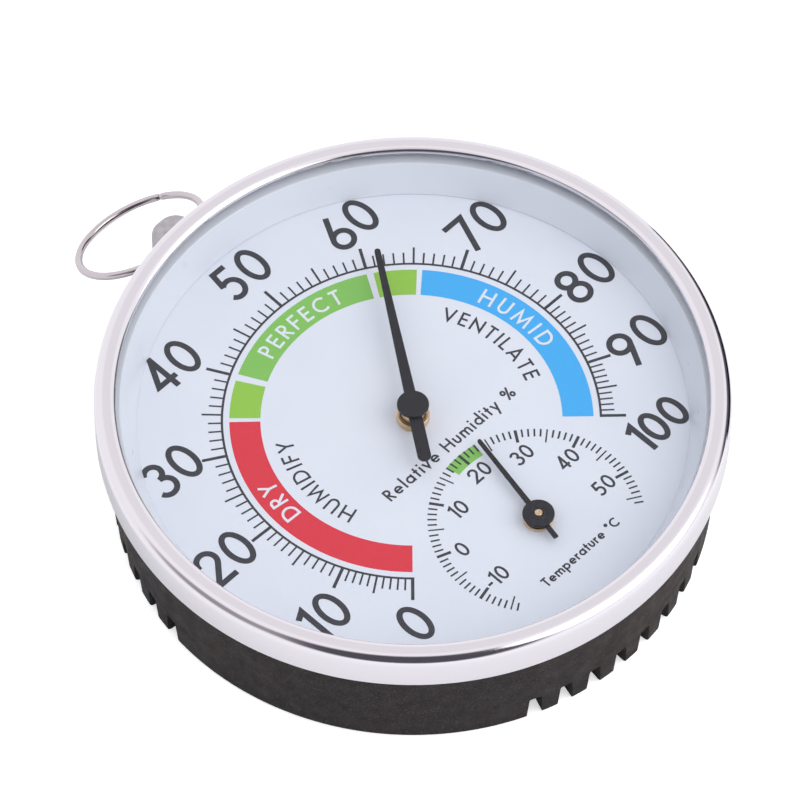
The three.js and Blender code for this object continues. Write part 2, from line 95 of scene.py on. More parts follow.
class Material:
    """A Principled material whose small-scale detail is built up by the methods below."""

    def __init__(self, name, colour, roughness, metallic=0.0, **sockets):
        self.material = bpy.data.materials.new(name)
        self.material.use_nodes = True
        self.tree = self.material.node_tree
        self.shader = self.tree.nodes["Principled BSDF"]
        self.colour = srgb(colour)
        self.set("Base Color", self.colour)
        self.set("Roughness", roughness)
        self.set("Metallic", metallic)
        for socket, value in sockets.items():
            self.set(socket.replace("_", " "), value)
        self.roughness = roughness
        self.coordinates = self.node("ShaderNodeTexCoord").outputs["Object"]

    def set(self, socket, value):
        self.shader.inputs[socket].default_value = value

    def node(self, kind, **inputs):
        made = self.tree.nodes.new(kind)
        for key, value in inputs.items():
            made.inputs[key.replace("_", " ")].default_value = value
        return made

    def link(self, output, target):
        self.tree.links.new(output, target)

    def millimetres(self, stretch=(1, 1, 1), centre=(0, 0)):
        """Object coordinates in millimetres about a centre, each axis multiplied by stretch."""
        mapping = self.node("ShaderNodeMapping")
        scale = [s / MM for s in stretch]
        mapping.inputs["Scale"].default_value = scale
        mapping.inputs["Location"].default_value = (
            -centre[0] * stretch[0],
            -centre[1] * stretch[1],
            0,
        )
        self.link(self.coordinates, mapping.inputs["Vector"])
        return mapping.outputs["Vector"]

    def noise(self, size, detail=3.0, stretch=(1, 1, 1), vector=None):
        """Noise whose features are about size millimetres across."""
        noise = self.node("ShaderNodeTexNoise", Scale=1 / size, Detail=detail)
        self.link(vector or self.millimetres(stretch), noise.inputs["Vector"])
        return noise.outputs["Fac"]

    def turned_lines(self, spacing, centre=(0, 0)):
        """Noise that depends only on the distance from a turning axis, as a lathe's marks do."""
        radius = self.node("ShaderNodeVectorMath")
        radius.operation = "LENGTH"
        flat = self.node("ShaderNodeVectorMath")
        flat.operation = "MULTIPLY"
        flat.inputs[1].default_value = (1, 1, 0)
        self.link(self.millimetres(centre=centre), flat.inputs[0])
        self.link(flat.outputs["Vector"], radius.inputs[0])
        noise = self.node("ShaderNodeTexNoise", Scale=1 / spacing, Detail=2.0)
        noise.noise_dimensions = "1D"
        self.link(radius.outputs["Value"], noise.inputs["W"])
        return noise.outputs["Fac"]

    def spread(self, value, low, high, start=0.3, end=0.7):
        """A 0 to 1 value stretched to run from low to high."""
        spread = self.node("ShaderNodeMapRange")
        spread.inputs["From Min"].default_value = start
        spread.inputs["From Max"].default_value = end
        spread.inputs["To Min"].default_value = low
        spread.inputs["To Max"].default_value = high
        self.link(value, spread.inputs["Value"])
        return spread.outputs["Result"]

    def vary_roughness(self, value, amount):
        low, high = self.roughness - amount, self.roughness + amount
        self.link(self.spread(value, max(low, 0.01), high), self.shader.inputs["Roughness"])

    def vary_colour(self, value, other, start=0.3, end=0.7):
        """Mixes towards another colour where value is high."""
        mix = self.node("ShaderNodeMix")
        mix.data_type = "RGBA"
        mix.inputs[6].default_value = self.shader.inputs["Base Color"].default_value
        mix.inputs[7].default_value = srgb(other)
        self.link(self.spread(value, 0, 1, start, end), mix.inputs["Factor"])
        previous = self.shader.inputs["Base Color"].links
        if previous:
            self.link(previous[0].from_socket, mix.inputs[6])
        self.link(mix.outputs[2], self.shader.inputs["Base Color"])

    def bump(self, value, height):
        """Relief of that height in millimetres; later calls add to earlier ones."""
        bump = self.node("ShaderNodeBump", Strength=1.0, Distance=height * MM)
        self.link(value, bump.inputs["Height"])
        previous = self.shader.inputs["Normal"].links
        if previous:
            self.link(previous[0].from_socket, bump.inputs["Normal"])
        self.link(bump.outputs["Normal"], self.shader.inputs["Normal"])


def srgb(colour):
    """An 8-bit screen colour as a linear RGBA value."""
    return (*(((c / 255 + 0.055) / 1.055) ** 2.4 if c > 10 else c / 3295 for c in colour), 1)


def polished_chrome():
    m = Material("bezel_chrome", (224, 220, 226), 0.12, 1.0)
    m.vary_roughness(m.noise(9, 4), 0.03)
    m.bump(m.noise(0.35, 2, (0.2, 0.2, 3)), 0.0004)
    return m.material


def wire_chrome():
    m = Material("wire_chrome", (196, 188, 191), 0.09, 1.0)
    m.vary_roughness(m.noise(1.5), 0.04)
    m.bump(m.noise(0.5), 0.002)
    return m.material


def case_plastic():
    m = Material("case_plastic", (31, 28, 32), 0.62, Specular_IOR_Level=0.12)
    m.vary_colour(m.noise(0.5, 5), (46, 42, 42))
    m.vary_colour(m.noise(16, 2), (48, 40, 37), 0.4, 0.75)
    m.vary_colour(m.noise(0.28, 1), (84, 76, 72), 0.62, 0.78)
    m.vary_roughness(m.noise(2.5, 3), 0.1)
    m.bump(m.noise(0.22, 2), 0.022)
    m.bump(m.noise(1.4, 3), 0.03)
    return m.material


def white_plastic():
    m = Material("white_plastic", (230, 233, 241), 0.35)
    m.vary_roughness(m.noise(3), 0.08)
    m.bump(m.noise(0.8, 2), 0.003)
    return m.material


def dial_enamel():
    m = Material("dial_enamel", (236, 238, 247), 0.45)
    m.vary_colour(m.noise(14, 2), (232, 235, 245), 0.35, 0.7)
    m.vary_roughness(m.noise(4), 0.06)
    m.bump(m.noise(0.5, 2), 0.0015)
    return m.material


def ink(name, colour, worn):
    m = Material(name, colour, 0.5)
    m.vary_colour(m.noise(0.25, 2), worn, 0.45, 0.8)
    m.vary_roughness(m.noise(1.2), 0.07)
    m.bump(m.noise(0.12, 2), 0.0008)
    return m.material


def black_lacquer():
    m = Material("black_lacquer", (33, 32, 38), 0.42, Specular_IOR_Level=0.35)
    m.vary_colour(m.noise(0.8, 4), (40, 39, 45))
    m.vary_roughness(m.noise(0.9), 0.1)
    m.bump(m.noise(0.18, 3), 0.004)
    return m.material


def brass(name, centre=(0, 0)):
    m = Material(name, (232, 204, 168), 0.34, 1.0)
    m.vary_colour(m.noise(1.6, 4), (208, 172, 126), 0.4, 0.75)
    lines = m.turned_lines(0.12, centre)
    m.vary_roughness(lines, 0.1)
    m.bump(lines, 0.004)
    return m.material


def brushed_steel():
    m = Material("brushed_steel", (176, 176, 180), 0.36, 1.0)
    grain = m.noise(0.15, 3, (0.05, 1, 1))
    m.vary_roughness(grain, 0.12)
    m.bump(grain, 0.003)
    return m.material


def satin_lug_metal():
    m = Material("satin_lug_metal", (190, 185, 190), 0.42, 1.0)
    m.vary_colour(m.noise(1.2, 4), (168, 163, 168))
    m.vary_roughness(m.noise(0.8), 0.1)
    m.bump(m.noise(0.16, 3), 0.006)
    return m.material


def coil_strip(name, colour, worn):
    m = Material(name, colour, 0.45, 0.8)
    m.vary_colour(m.noise(0.7, 4), worn)
    m.vary_roughness(m.noise(0.3, 3, (1, 1, 0.2)), 0.12)
    m.bump(m.noise(0.2, 3, (1, 1, 0.1)), 0.004)
    return m.material


def clear_glass():
    """Clear, with a Fresnel mirror on the side a ray enters by; smears only change the mirroring."""
    material = bpy.data.materials.new("clear_glass")
    material.use_nodes = True
    tree = material.node_tree
    tree.nodes.clear()
    coordinates = tree.nodes.new("ShaderNodeTexCoord")
    smears = tree.nodes.new("ShaderNodeTexNoise")
    smears.inputs["Scale"].default_value = 90
    smears.inputs["Detail"].default_value = 4
    tree.links.new(coordinates.outputs["Object"], smears.inputs["Vector"])
    roughness = tree.nodes.new("ShaderNodeMapRange")
    roughness.inputs["From Min"].default_value = 0.45
    roughness.inputs["From Max"].default_value = 0.8
    roughness.inputs["To Min"].default_value = 0.02
    roughness.inputs["To Max"].default_value = 0.05
    tree.links.new(smears.outputs["Fac"], roughness.inputs["Value"])
    clear = tree.nodes.new("ShaderNodeBsdfTransparent")
    clear.inputs["Color"].default_value = (0.932, 0.937, 0.942, 1)
    mirror = tree.nodes.new("ShaderNodeBsdfAnisotropic")
    tree.links.new(roughness.outputs["Result"], mirror.inputs["Roughness"])
    fresnel = tree.nodes.new("ShaderNodeFresnel")
    fresnel.inputs["IOR"].default_value = 1.28
    entering = tree.nodes.new("ShaderNodeMath")
    entering.operation = "SUBTRACT"
    entering.use_clamp = True
    leaving = tree.nodes.new("ShaderNodeNewGeometry").outputs["Backfacing"]
    tree.links.new(fresnel.outputs["Fac"], entering.inputs[0])
    tree.links.new(leaving, entering.inputs[1])
    mix = tree.nodes.new("ShaderNodeMixShader")
    tree.links.new(entering.outputs["Value"], mix.inputs["Fac"])
    tree.links.new(clear.outputs["BSDF"], mix.inputs[1])
    tree.links.new(mirror.outputs["BSDF"], mix.inputs[2])
    output = tree.nodes.new("ShaderNodeOutputMaterial")
    tree.links.new(mix.outputs["Shader"], output.inputs["Surface"])
    return material


# ---- mesh building ----


def finish_mesh(name, bm, material, sharp_degrees=35):
    """The bmesh, in millimetres, as a smooth-shaded object with sharp edges kept."""
    bmesh.ops.scale(bm, vec=(MM, MM, MM), verts=bm.verts)
    mesh = bpy.data.meshes.new(name)
    bm.to_mesh(mesh)
    bm.free()
    mesh.shade_smooth()
    mesh.set_sharp_from_angle(angle=math.radians(sharp_degrees))
    mesh.materials.append(material)
    made = bpy.data.objects.new(name, mesh)
    bpy.context.scene.collection.objects.link(made)
    return made


def rounded(corners, steps=6):
    """Corners (r, z) or (r, z, radius), each with a radius replaced by an arc."""
    points = []
    count = len(corners)
    for i, corner in enumerate(corners):
        here = Vector(corner[:2])
        radius = corner[2] if len(corner) > 2 else 0
        if not radius:
            points.append(here)
            continue
        before = (Vector(corners[i - 1][:2]) - here).normalized()
        after = (Vector(corners[(i + 1) % count][:2]) - here).normalized()
        half = before.angle(after) / 2
        centre = here + (before + after).normalized() * radius / math.sin(half)
        start = here + before * radius / math.tan(half) - centre
        end = here + after * radius / math.tan(half) - centre
        turn = math.atan2(start.cross(end), start.dot(end))
        points += [centre + Matrix.Rotation(turn * s / steps, 2) @ start for s in range(steps + 1)]
    return points


def turned_mesh(corners, segments=96, steps=6):
    """A closed profile of rounded corners turned about Z; it may start and end on the axis."""
    on_axis = 1e-6
    bm = bmesh.new()
    profile = rounded(corners, steps)
    closed = profile[0].x > on_axis
    rings = []
    for point in profile:
        if point.x < on_axis:
            rings.append([bm.verts.new((0, 0, point.y))] * segments)
            continue
        angles = [2 * math.pi * s / segments for s in range(segments)]
        rings.append(
            [bm.verts.new((point.x * math.cos(a), point.x * math.sin(a), point.y)) for a in angles]
        )
    pairs = list(zip(rings, rings[1:] + rings[:1])) if closed else list(zip(rings, rings[1:]))
    for low, high in pairs:
        for s in range(segments):
            t = (s + 1) % segments
            corners_here = dict.fromkeys((low[s], low[t], high[t], high[s]))
            bm.faces.new(corners_here)
    bmesh.ops.recalc_face_normals(bm, faces=bm.faces)
    return bm


def turned(name, corners, material, segments=96, centre=(0, 0), steps=6):
    bm = turned_mesh(corners, segments, steps)
    bmesh.ops.translate(bm, vec=(*centre, 0), verts=bm.verts)
    return finish_mesh(name, bm, material)


def slab_mesh(outline, low, high):
    """A flat outline of (x, y) points as a closed slab between two heights."""
    bm = bmesh.new()
    bottom = [bm.verts.new((x, y, low)) for x, y in outline]
    top = [bm.verts.new((x, y, high)) for x, y in outline]
    bm.faces.new(bottom[::-1])
    bm.faces.new(top)
    count = len(outline)
    for i in range(count):
        j = (i + 1) % count
        bm.faces.new((bottom[i], bottom[j], top[j], top[i]))
    bmesh.ops.recalc_face_normals(bm, faces=bm.faces)
    return bm


def round_edges(piece, width, segments=3, degrees=40):
    bevel = piece.modifiers.new("round_edges", "BEVEL")
    bevel.width = width * MM
    bevel.segments = segments
    bevel.limit_method = "ANGLE"
    bevel.angle_limit = math.radians(degrees)


def merged(meshes):
    """Several bmeshes as one."""
    whole = bmesh.new()
    for part in meshes:
        scratch = bpy.data.meshes.new("scratch")
        part.to_mesh(scratch)
        part.free()
        whole.from_mesh(scratch)
        bpy.data.meshes.remove(scratch)
    return whole


def combine(piece, others, operation):
    """Cuts the others from the piece, or joins them to it, and removes them."""
    for other in others:
        modifier = piece.modifiers.new("combine", "BOOLEAN")
        modifier.operation = operation
        modifier.solver = "EXACT"
        modifier.object = other
    bpy.context.view_layer.update()
    evaluated = piece.evaluated_get(bpy.context.evaluated_depsgraph_get())
    mesh = bpy.data.meshes.new_from_object(evaluated)
    piece.modifiers.clear()
    piece.data = mesh
    for other in others:
        bpy.data.objects.remove(other)
    mesh.shade_smooth()
    mesh.set_sharp_from_angle(angle=math.radians(35))
    return piece


def on_bearing(radius, bearing):
    angle = math.radians(bearing)
    return Vector((radius * math.sin(angle), radius * math.cos(angle)))


# ---- case ----


def build_bezel(material):
    """Rolled and plated sheet: straight skirt, round shoulder, shallow crown, lip over the glass."""
    outer = BEZEL_HIGH.x
    crown = BEZEL_HIGH.z
    skirt = BEZEL_LOW.z
    sight = DIAL_RADIUS + 0.2
    sheet = 0.8  # thickness
    profile = [
        (outer, skirt, 0.45),
        (outer, crown, 1.7),
        (sight + 0.85, crown - 0.02, 1.1),
        (sight, crown - 0.38, 0.6),
        (sight, crown - 1.05, 0.12),
        (sight + 1.2, crown - 0.95, 0.3),
        (outer - sheet, crown - sheet, 0.9),
        (outer - sheet, skirt, 0.2),
    ]
    bezel = turned("bezel", profile, material, 288, steps=12)
    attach(bezel, "case")
    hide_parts("bezel_ring")


def vent_slot(bearing):
    """Cutter for one slot in the side wall, open at the rear edge, with a round-cornered top."""
    top, mouth, height, below = 2.1, 3.0, 5.7, 1.0
    corner = 0.35
    inside, outside = 46.3, HOUSING_HIGH.x + 1  # either side of the wall
    corners = [
        (-mouth / 2, -below),
        (mouth / 2, -below),
        (top / 2, height, corner),
        (-top / 2, height, corner),
    ]
    bm = slab_mesh(rounded(corners, 3), 0, outside - inside)
    upright = Matrix.Rotation(math.radians(90), 3, "X")
    bmesh.ops.rotate(bm, matrix=upright, verts=bm.verts)
    bmesh.ops.translate(bm, vec=(0, outside, 0), verts=bm.verts)
    turn = Matrix.Rotation(-math.radians(bearing), 3, "Z")
    bmesh.ops.rotate(bm, matrix=turn, verts=bm.verts)
    return bm


def peg_slot():
    """Cutter for the curved opening in the back that the calibration peg moves in."""
    half_width = 1.5
    lever_end = 1.5  # radius of the lever's end, which the peg stands on
    middle = -cad_box("calibration_lever")[0].x - lever_end
    swing = 23.4  # each way from the middle
    steps = 16
    bearings = [270 - swing + 2 * swing * s / steps for s in range(steps + 1)]
    outer = [on_bearing(middle + half_width, b) for b in bearings]
    inner = [on_bearing(middle - half_width, b) for b in reversed(bearings)]
    below, above = -1, 3
    return slab_mesh(outer + inner, below, above)


def build_housing(material):
    """Moulded cup: tapered outside, a ledge for the dial, three groups of vent slots."""
    front = HOUSING_HIGH.x
    taper = 0.9
    back = front - taper
    skirt = BEZEL_LOW.z
    rim = HOUSING_HIGH.z
    recess = DIAL_RADIUS + 0.3
    ledge = 46.6
    ledge_z = cad_box("dial_plate")[0].z - 0.1
    floor = 2.0
    profile = [
        (0, 0),
        (back, 0, 0.9),
        (front, skirt),
        (front, rim, 0.2),
        (recess, rim, 0.2),
        (recess, ledge_z),
        (ledge, ledge_z, 0.2),
        (ledge, floor, 0.8),
        (0, floor),
    ]
    housing = turned("case_back", profile, material, 288, steps=5)
    groups = (-60, 60, 180)  # bearings of their middles
    count, pitch = 8, 6.4
    starts = [middle - pitch * (count - 1) / 2 for middle in groups]
    slots = [vent_slot(start + pitch * i) for start in starts for i in range(count)]
    cutter = finish_mesh("slot_cutter", merged(slots + [peg_slot()]), material)
    combine(housing, [cutter], "DIFFERENCE")
    round_edges(housing, 0.18, 2)
    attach(housing, "case")
    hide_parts("rear_housing")


def build_spacer(material):
    """White cone between the dial and the glass, with a flange between the housing and the glass."""
    foot = 44.8
    flange = HOUSING_HIGH.z + 0.1
    low, high = SPACER_LOW.z, SPACER_HIGH.z
    profile = [
        (foot, low, 0.05),
        (DIAL_RADIUS, low),
        (DIAL_RADIUS, flange),
        (SPACER_HIGH.x, flange),
        (SPACER_HIGH.x, high, 0.15),
        (DIAL_RADIUS - 0.4, high, 0.35),
    ]
    spacer = turned("spacer_cone", profile, material, 288)
    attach(spacer, "case")
    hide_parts("spacer_ring")


# ---- print: flat layers of ink a hair above the enamel ----


class Print:
    """Collects flat shapes, in millimetres about the dial's centre, for one layer of one ink."""

    def __init__(self, level, centre=(0, 0)):
        self.bm = bmesh.new()
        self.z = DIAL_Z + FILM * level
        self.centre = Vector(centre) + Vector(PRINT_SHIFT)

    def face(self, points, lift=0.0):
        verts = [self.bm.verts.new((*(p + self.centre), self.z + lift)) for p in points]
        made = self.bm.faces.new(verts)
        made.normal_update()
        if made.normal.z < 0:
            made.normal_flip()

    def band(self, inner, outer, start, end, step=1.0):
        """Part of a ring between two radii and two bearings."""
        count = max(1, round((end - start) / step))
        bearings = [start + (end - start) * i / count for i in range(count + 1)]
        for a, b in zip(bearings, bearings[1:]):
            corners = ((inner, a), (outer, a), (outer, b), (inner, b))
            self.face([on_bearing(r, bearing) for r, bearing in corners])

    def tick(self, inner, outer, bearing, width):
        along = on_bearing(1, bearing)
        across = Vector((along.y, -along.x)) * width / 2
        ends = [along * inner, along * outer]
        self.face([ends[0] - across, ends[1] - across, ends[1] + across, ends[0] + across])

    def stroke(self, points, half, closed=False, lift=0.0):
        """A ribbon along the points, mitred at the corners; points that repeat are dropped."""
        apart = half / 20
        sharpest = 0.35  # keeps the mitre of a sharp corner short
        points = [p for p, q in zip(points, [None] + points) if q is None or (p - q).length > apart]
        count = len(points)
        left, right = [], []
        for i, here in enumerate(points):
            before = points[i - 1] if i or closed else None
            after = points[(i + 1) % count] if i + 1 < count or closed else None
            into = (here - before).normalized() if before is not None else None
            out = (after - here).normalized() if after is not None else into
            into = into or out
            along = (into + out).normalized()
            side = Vector((-along.y, along.x)) * half / max(sharpest, along.dot(out))
            left.append(here + side)
            right.append(here - side)
        last = count if closed else count - 1
        for i in range(last):
            j = (i + 1) % count
            self.face([right[i], right[j], left[j], left[i]], lift)

    def done(self, name, material):
        made = finish_mesh(name, self.bm, material)
        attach(made, "case")


# ---- lettering: plain geometric strokes, drawn on a height of 1 ----


def curve(x, y, rx, ry, start, end, step=12):
    """Points of an elliptical arc between two angles, counter-clockwise when end is larger."""
    count = max(2, round(abs(end - start) / step))
    angles = [math.radians(start + (end - start) * i / count) for i in range(count + 1)]
    return [(x + rx * math.cos(a), y + ry * math.sin(a)) for a in angles]


def loop(x, y, rx, ry):
    """A closed ellipse; the first and last points are not repeated."""
    return curve(x, y, rx, ry, 0, 360)[:-1]


def touching(x, y, radius, point, turn):
    """Angle on a circle at which a straight line to the point leaves it without a corner."""
    dx, dy = point[0] - x, point[1] - y
    base = math.degrees(math.atan2(dy, dx))
    return base + turn * math.degrees(math.acos(radius / math.hypot(dx, dy)))


def digit_shapes(h):
    """Digits as (width, [strokes]); h is half a stroke. A closed stroke is a pair ("loop", points)."""
    w = 0.61
    r = w / 2 - h
    waist = 0.53
    low_y, low_r = (h + waist) / 2, (waist - h) / 2
    top_y, top_r = (1 - h + waist) / 2, (1 - h - waist) / 2
    top_rx = r * 0.87
    bowl = w / 2
    foot = (0.075, h)
    two_y = 1 - h - r
    two = touching(bowl, two_y, r, foot, 1)
    six_top, nine_foot = (0.41, 1.0), (0.2, 0.0)
    six = touching(bowl, bowl, r, six_top, 1)
    nine = touching(bowl, 1 - bowl, r, nine_foot, 1)
    return {
        "0": (w, [("loop", loop(bowl, 0.5, r, 0.5 - h))]),
        "1": (0.27, [[(0.0, 0.80), (0.21, 0.93), (0.21, 0.0)]]),
        "2": (w, [curve(bowl, two_y, r, r, 186, two) + [foot, (w, h)]]),
        "3": (
            w - 0.03,
            [
                curve(bowl - 0.03, top_y, top_rx, top_r, 158, -90),
                curve(bowl - 0.03, low_y, r, low_r, 90, -158),
            ],
        ),
        "4": (w + 0.02, [[(w + 0.02, 0.26), (0.1, 0.26), (0.46, 0.93)], [(0.46, 0), (0.46, 1)]]),
        "5": (
            w,
            [
                [(0.55, 1 - h), (0.2, 1 - h), (0.135, 0.5)],
                curve(bowl - 0.01, 0.33, r, 0.33 - h, 133, -142),
            ],
        ),
        "6": (w, [[six_top] + curve(bowl, bowl, r, r, six, six + 20), ("loop", loop(bowl, bowl, r, r))]),
        "7": (w - 0.03, [[(0.0, 1 - h), (0.53, 1 - h), (0.17, 0.0)]]),
        "8": (
            w,
            [("loop", loop(bowl, low_y, r, low_r)), ("loop", loop(bowl, top_y, top_rx, top_r))],
        ),
        "9": (
            w,
            [
                [nine_foot] + curve(bowl, 1 - bowl, r, r, nine, nine + 20),
                ("loop", loop(bowl, 1 - bowl, r, r)),
            ],
        ),
        "-": (0.3, [[(0, 0.4), (0.3, 0.4)]]),
    }


def capital_shapes(h):
    """Capitals and signs in the same form as the digits."""
    bowl = 0.5 - h
    return {
        "A": (0.84, [[(0.05, 0), (0.42, 0.93), (0.79, 0)], [(0.17, 0.28), (0.67, 0.28)]]),
        "C": (0.84, [curve(0.5, 0.5, bowl, bowl, 48, 312)]),
        "D": (0.8, [("loop", [(h, h), (h, 1 - h)] + curve(0.3, 0.5, bowl, bowl, 90, -90))]),
        "E": (0.52, [[(0.52, 1 - h), (h, 1 - h), (h, h), (0.52, h)], [(h, 0.52), (0.5, 0.52)]]),
        "F": (0.5, [[(0.5, 1 - h), (h, 1 - h), (h, 0)], [(h, 0.5), (0.47, 0.5)]]),
        "H": (0.78, [[(h, 0), (h, 1)], [(0.78 - h, 0), (0.78 - h, 1)], [(h, 0.52), (0.78 - h, 0.52)]]),
        "I": (2 * h, [[(h, 0), (h, 1)]]),
        "L": (0.46, [[(h, 1), (h, h), (0.46, h)]]),
        "M": (1.0, [[(0.04, 0), (0.17, 0.88), (0.5, 0.14), (0.83, 0.88), (0.96, 0)]]),
        "N": (0.78, [[(h, 0), (h, 0.86), (0.78 - h, 0.14), (0.78 - h, 1)]]),
        "P": (
            0.54,
            [
                [(h, 0), (h, 1)],
                [(h, 1 - h)] + curve(0.26, 0.71, 0.28 - h, 0.29 - h, 90, -90) + [(h, 0.42 + h)],
            ],
        ),
        "R": (
            0.58,
            [
                [(h, 0), (h, 1)],
                [(h, 1 - h)] + curve(0.26, 0.72, 0.28 - h, 0.28 - h, 90, -90) + [(h, 0.44 + h)],
                [(0.22, 0.46), (0.53, 0)],
            ],
        ),
        "T": (0.58, [[(0, 1 - h), (0.58, 1 - h)], [(0.29, 0), (0.29, 1)]]),
        "U": (
            0.7,
            [[(h, 1), (h, 0.35)] + curve(0.35, 0.35, 0.35 - h, 0.35 - h, 180, 360) + [(0.7 - h, 1)]],
        ),
        "V": (0.78, [[(0.04, 1), (0.39, 0.1), (0.74, 1)]]),
        "Y": (0.7, [[(0.04, 1), (0.35, 0.46)], [(0.66, 1), (0.35, 0.46)], [(0.35, 0), (0.35, 0.5)]]),
        "%": (
            0.92,
            [
                ("loop", loop(0.22, 0.76, 0.22 - h, 0.24 - h)),
                ("loop", loop(0.70, 0.24, 0.22 - h, 0.24 - h)),
                [(0.72, 1), (0.2, 0)],
            ],
        ),
        "°": (0.38, [("loop", loop(0.19, 0.84, 0.19 - h, 0.19 - h))]),
        " ": (0.3, []),
    }


def arch(left, right, top):
    """The shoulder of a small letter, from one stem over to the next and down to the line."""
    reach = (right - left) / 2
    return curve(left + reach, top - reach, reach, reach, 180, 0, 20) + [(right, 0)]


def small_shapes(h):
    """Small letters in the same form as the digits."""
    x = 0.66  # height of the small letters
    r = x / 2
    bowl = ("loop", loop(r, r, r - h, r - h))
    ascender, descender = 1.08, -0.36
    cup = 0.27  # radius of the foot of a "u"
    return {
        "a": (x, [bowl, [(x - h, 0), (x - h, x)]]),
        "d": (x, [bowl, [(x - h, 0), (x - h, ascender)]]),
        "e": (x, [[(h, r), (x - h, r)] + curve(r, r, r - h, r - h, 0, 315)]),
        "i": (2 * h, [[(h, 0), (h, x)], [(h, 0.8), (h, 0.8 + 2 * h)]]),
        "l": (2 * h, [[(h, 0), (h, ascender)]]),
        "m": (0.88, [[(h, 0), (h, x)], arch(h, 0.44, x - h), arch(0.44, 0.88 - h, x - h)]),
        "p": (x, [bowl, [(h, descender), (h, x)]]),
        "r": (0.36, [[(h, 0), (h, x)], curve(0.32, x - 0.26, 0.32 - h, 0.26 - h, 180, 80, 20)]),
        "t": (0.34, [[(0.17, 0), (0.17, 0.9)], [(0, x - h), (0.34, x - h)]]),
        "u": (
            0.54,
            [[(h, x), (h, cup)] + curve(cup, cup, cup - h, cup - h, 180, 360, 20) + [(0.54 - h, x)]],
        ),
        "v": (0.58, [[(0.04, x), (0.29, 0.09), (0.54, x)]]),
        "y": (0.58, [[(0.04, x), (0.3, 0.05)], [(0.54, x), (0.14, descender)]]),
    }


def letter_shapes(stroke):
    """All the glyphs, for a stroke width given as a share of the height."""
    h = stroke / 2
    return {**digit_shapes(h), **capital_shapes(h), **small_shapes(h)}


def glyphs_of(text, stroke, gap):
    """The text's strokes with their places: a list of (x, width, strokes), and the whole width."""
    shapes = letter_shapes(stroke)
    x, placed = 0.0, []
    for letter in text:
        width, strokes = shapes[letter]
        placed.append((x, width, strokes))
        x += width + gap
    return placed, x - gap


def gap_to_fit(text, stroke, length):
    """The gap between letters that makes the text as long as length, in units of its height."""
    widths = glyphs_of(text, stroke, 0.0)[1]
    return (length - widths) / max(1, len(text) - 1)


def draw_glyph(layer, strokes, place, half):
    for i, stroke in enumerate(strokes):
        closed = stroke[0] == "loop"
        points = stroke[1] if closed else stroke
        layer.stroke([place(Vector(p)) for p in points], half, closed, i * CROSSING)


def straight_text(layer, text, centre, height, stroke, gap):
    """Text across the dial whose middle is at centre; height and stroke are in millimetres."""
    placed, width = glyphs_of(text, stroke / height, gap)
    for x, _, strokes in placed:
        origin = Vector((centre[0] + (x - width / 2) * height, centre[1] - height / 2))
        draw_glyph(layer, strokes, lambda p, o=origin: o + p * height, stroke / 2)


def curved_text(layer, text, inner, outer, start, end, stroke):
    """Text along a circle, letter tops outwards, from one bearing to another."""
    height = outer - inner
    middle = (inner + outer) / 2
    length = math.radians(end - start) * middle
    gap = gap_to_fit(text, stroke / height, length / height)
    placed, _ = glyphs_of(text, stroke / height, gap)
    for x, width, strokes in placed:
        bearing = start + math.degrees((x + width / 2) * height / middle)
        up = on_bearing(1, bearing)
        across = Vector((up.y, -up.x))

        def place(p, width=width, up=up, across=across):
            return across * (p.x - width / 2) * height + up * (inner + p.y * height)

        draw_glyph(layer, strokes, place, stroke / 2)


def humidity_bearing(percent):
    decade = min(int(percent // 10), 9)
    start, end = DECADE_BEARINGS[decade : decade + 2]
    return start + (end - start) * (percent / 10 - decade)


def temperature_bearing(degrees):
    return MID_BEARING + (degrees - MID_TEMPERATURE) * DEGREE_STEP


def tick_kind(value):
    """0 for a ten, 1 for a five, 2 for the others."""
    return 0 if value % 10 == 0 else 1 if value % 5 == 0 else 2


def print_bands(inks):
    inner, outer = 0.802 * SCALE_RADIUS, 0.967 * SCALE_RADIUS
    spans = {
        "band_red": [(-134.6, -45.75)],
        "band_light_green": [(-44.25, -29.75), (33.5, 47.5)],
        "band_green": [(-27.25, 31.25)],
        "band_blue": [(49.25, 134.9)],
    }
    for name, stretches in spans.items():
        layer = Print(1)
        for start, end in stretches:
            layer.band(inner, outer, start, end)
        layer.done(name, inks[name])
    patch = Print(1, (0, THERMO_Y))
    patch.band(0.493 * SCALE_RADIUS, 0.573 * SCALE_RADIUS, -9.6, 11.4)
    patch.done("comfort_patch", inks["band_green"])


def print_humidity_scale(black):
    layer = Print(2)
    inner = SCALE_RADIUS
    outer = inner + 0.38
    overrun = 0.5
    layer.band(inner, outer, DECADE_BEARINGS[0] - overrun, DECADE_BEARINGS[-1] + overrun)
    for percent in range(101):
        kind = tick_kind(percent)
        reach = (1.14, 1.115, 1.08)[kind] * SCALE_RADIUS
        width = (0.53, 0.34, 0.30)[kind]
        layer.tick(outer, reach, humidity_bearing(percent), width)
    layer.done("humidity_ticks", black)


def print_humidity_numerals(black):
    """Upright numerals, each a little to one side of its tick, and 100 smaller than the others."""
    layer = Print(2)
    bearings = [-135.2, -114.2, -86.4, -59.1, -29.7, 1.2, 30.8, 61.6, 91.3, 113.0, 136.9]
    for i, bearing in enumerate(bearings):
        radius = {0: 1.28, 3: 1.304, 4: 1.33}.get(i, 1.312) * SCALE_RADIUS
        height, gap = (DIGIT_HEIGHT, 0.125) if i < 10 else (6.35, 0.08)
        centre = on_bearing(radius, bearing)
        straight_text(layer, str(i * 10), centre, height, DIGIT_STROKE, gap)
    layer.done("humidity_numerals", black)


